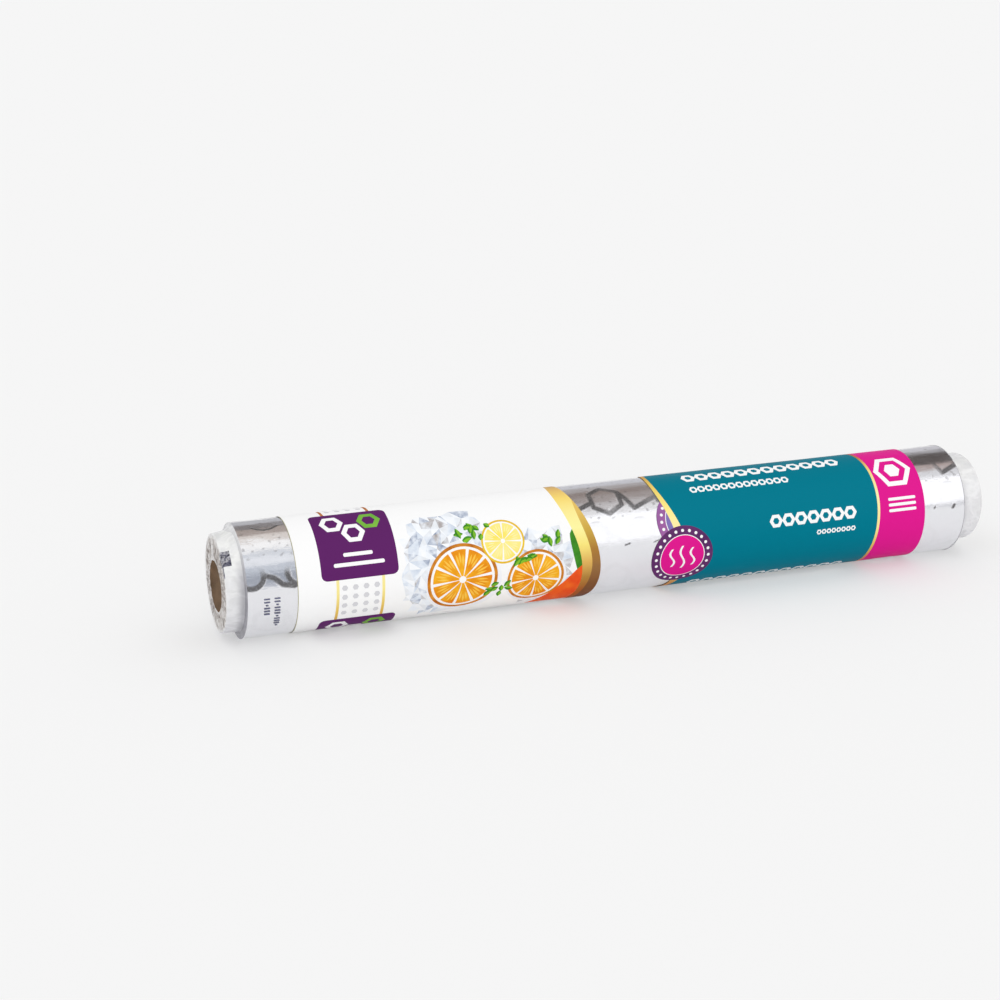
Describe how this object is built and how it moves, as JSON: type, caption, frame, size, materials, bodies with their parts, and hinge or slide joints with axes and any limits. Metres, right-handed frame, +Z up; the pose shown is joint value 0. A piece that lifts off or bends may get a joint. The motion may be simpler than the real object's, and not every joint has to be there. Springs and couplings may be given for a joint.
{
  "type": "aluminium foil roll",
  "caption": "Household aluminium foil wound on a card core tube and sealed in a printed clear shrink film that gathers over both open core ends.",
  "frame": {"origin": "middle of the bounding box's bottom face, on the surface that the roll lies on, halfway along the core tube", "axes": "+X along the roll's axis towards its right-hand end, -Y the front that carries the printed badge, +Z up"},
  "size_m": [0.3064, 0.0426, 0.0424],
  "materials": {
    "core_card": "matt unbleached card with a white outer ply",
    "foil": "bright rolled foil with an embossed pattern",
    "printed_film": "thin glossy clear film with printed fields"
  },
  "bodies": {
    "root": {"core_tube": "core_card", "foil_winding": "foil", "wrap_film": "printed_film"}
  },
  "joints": []
}
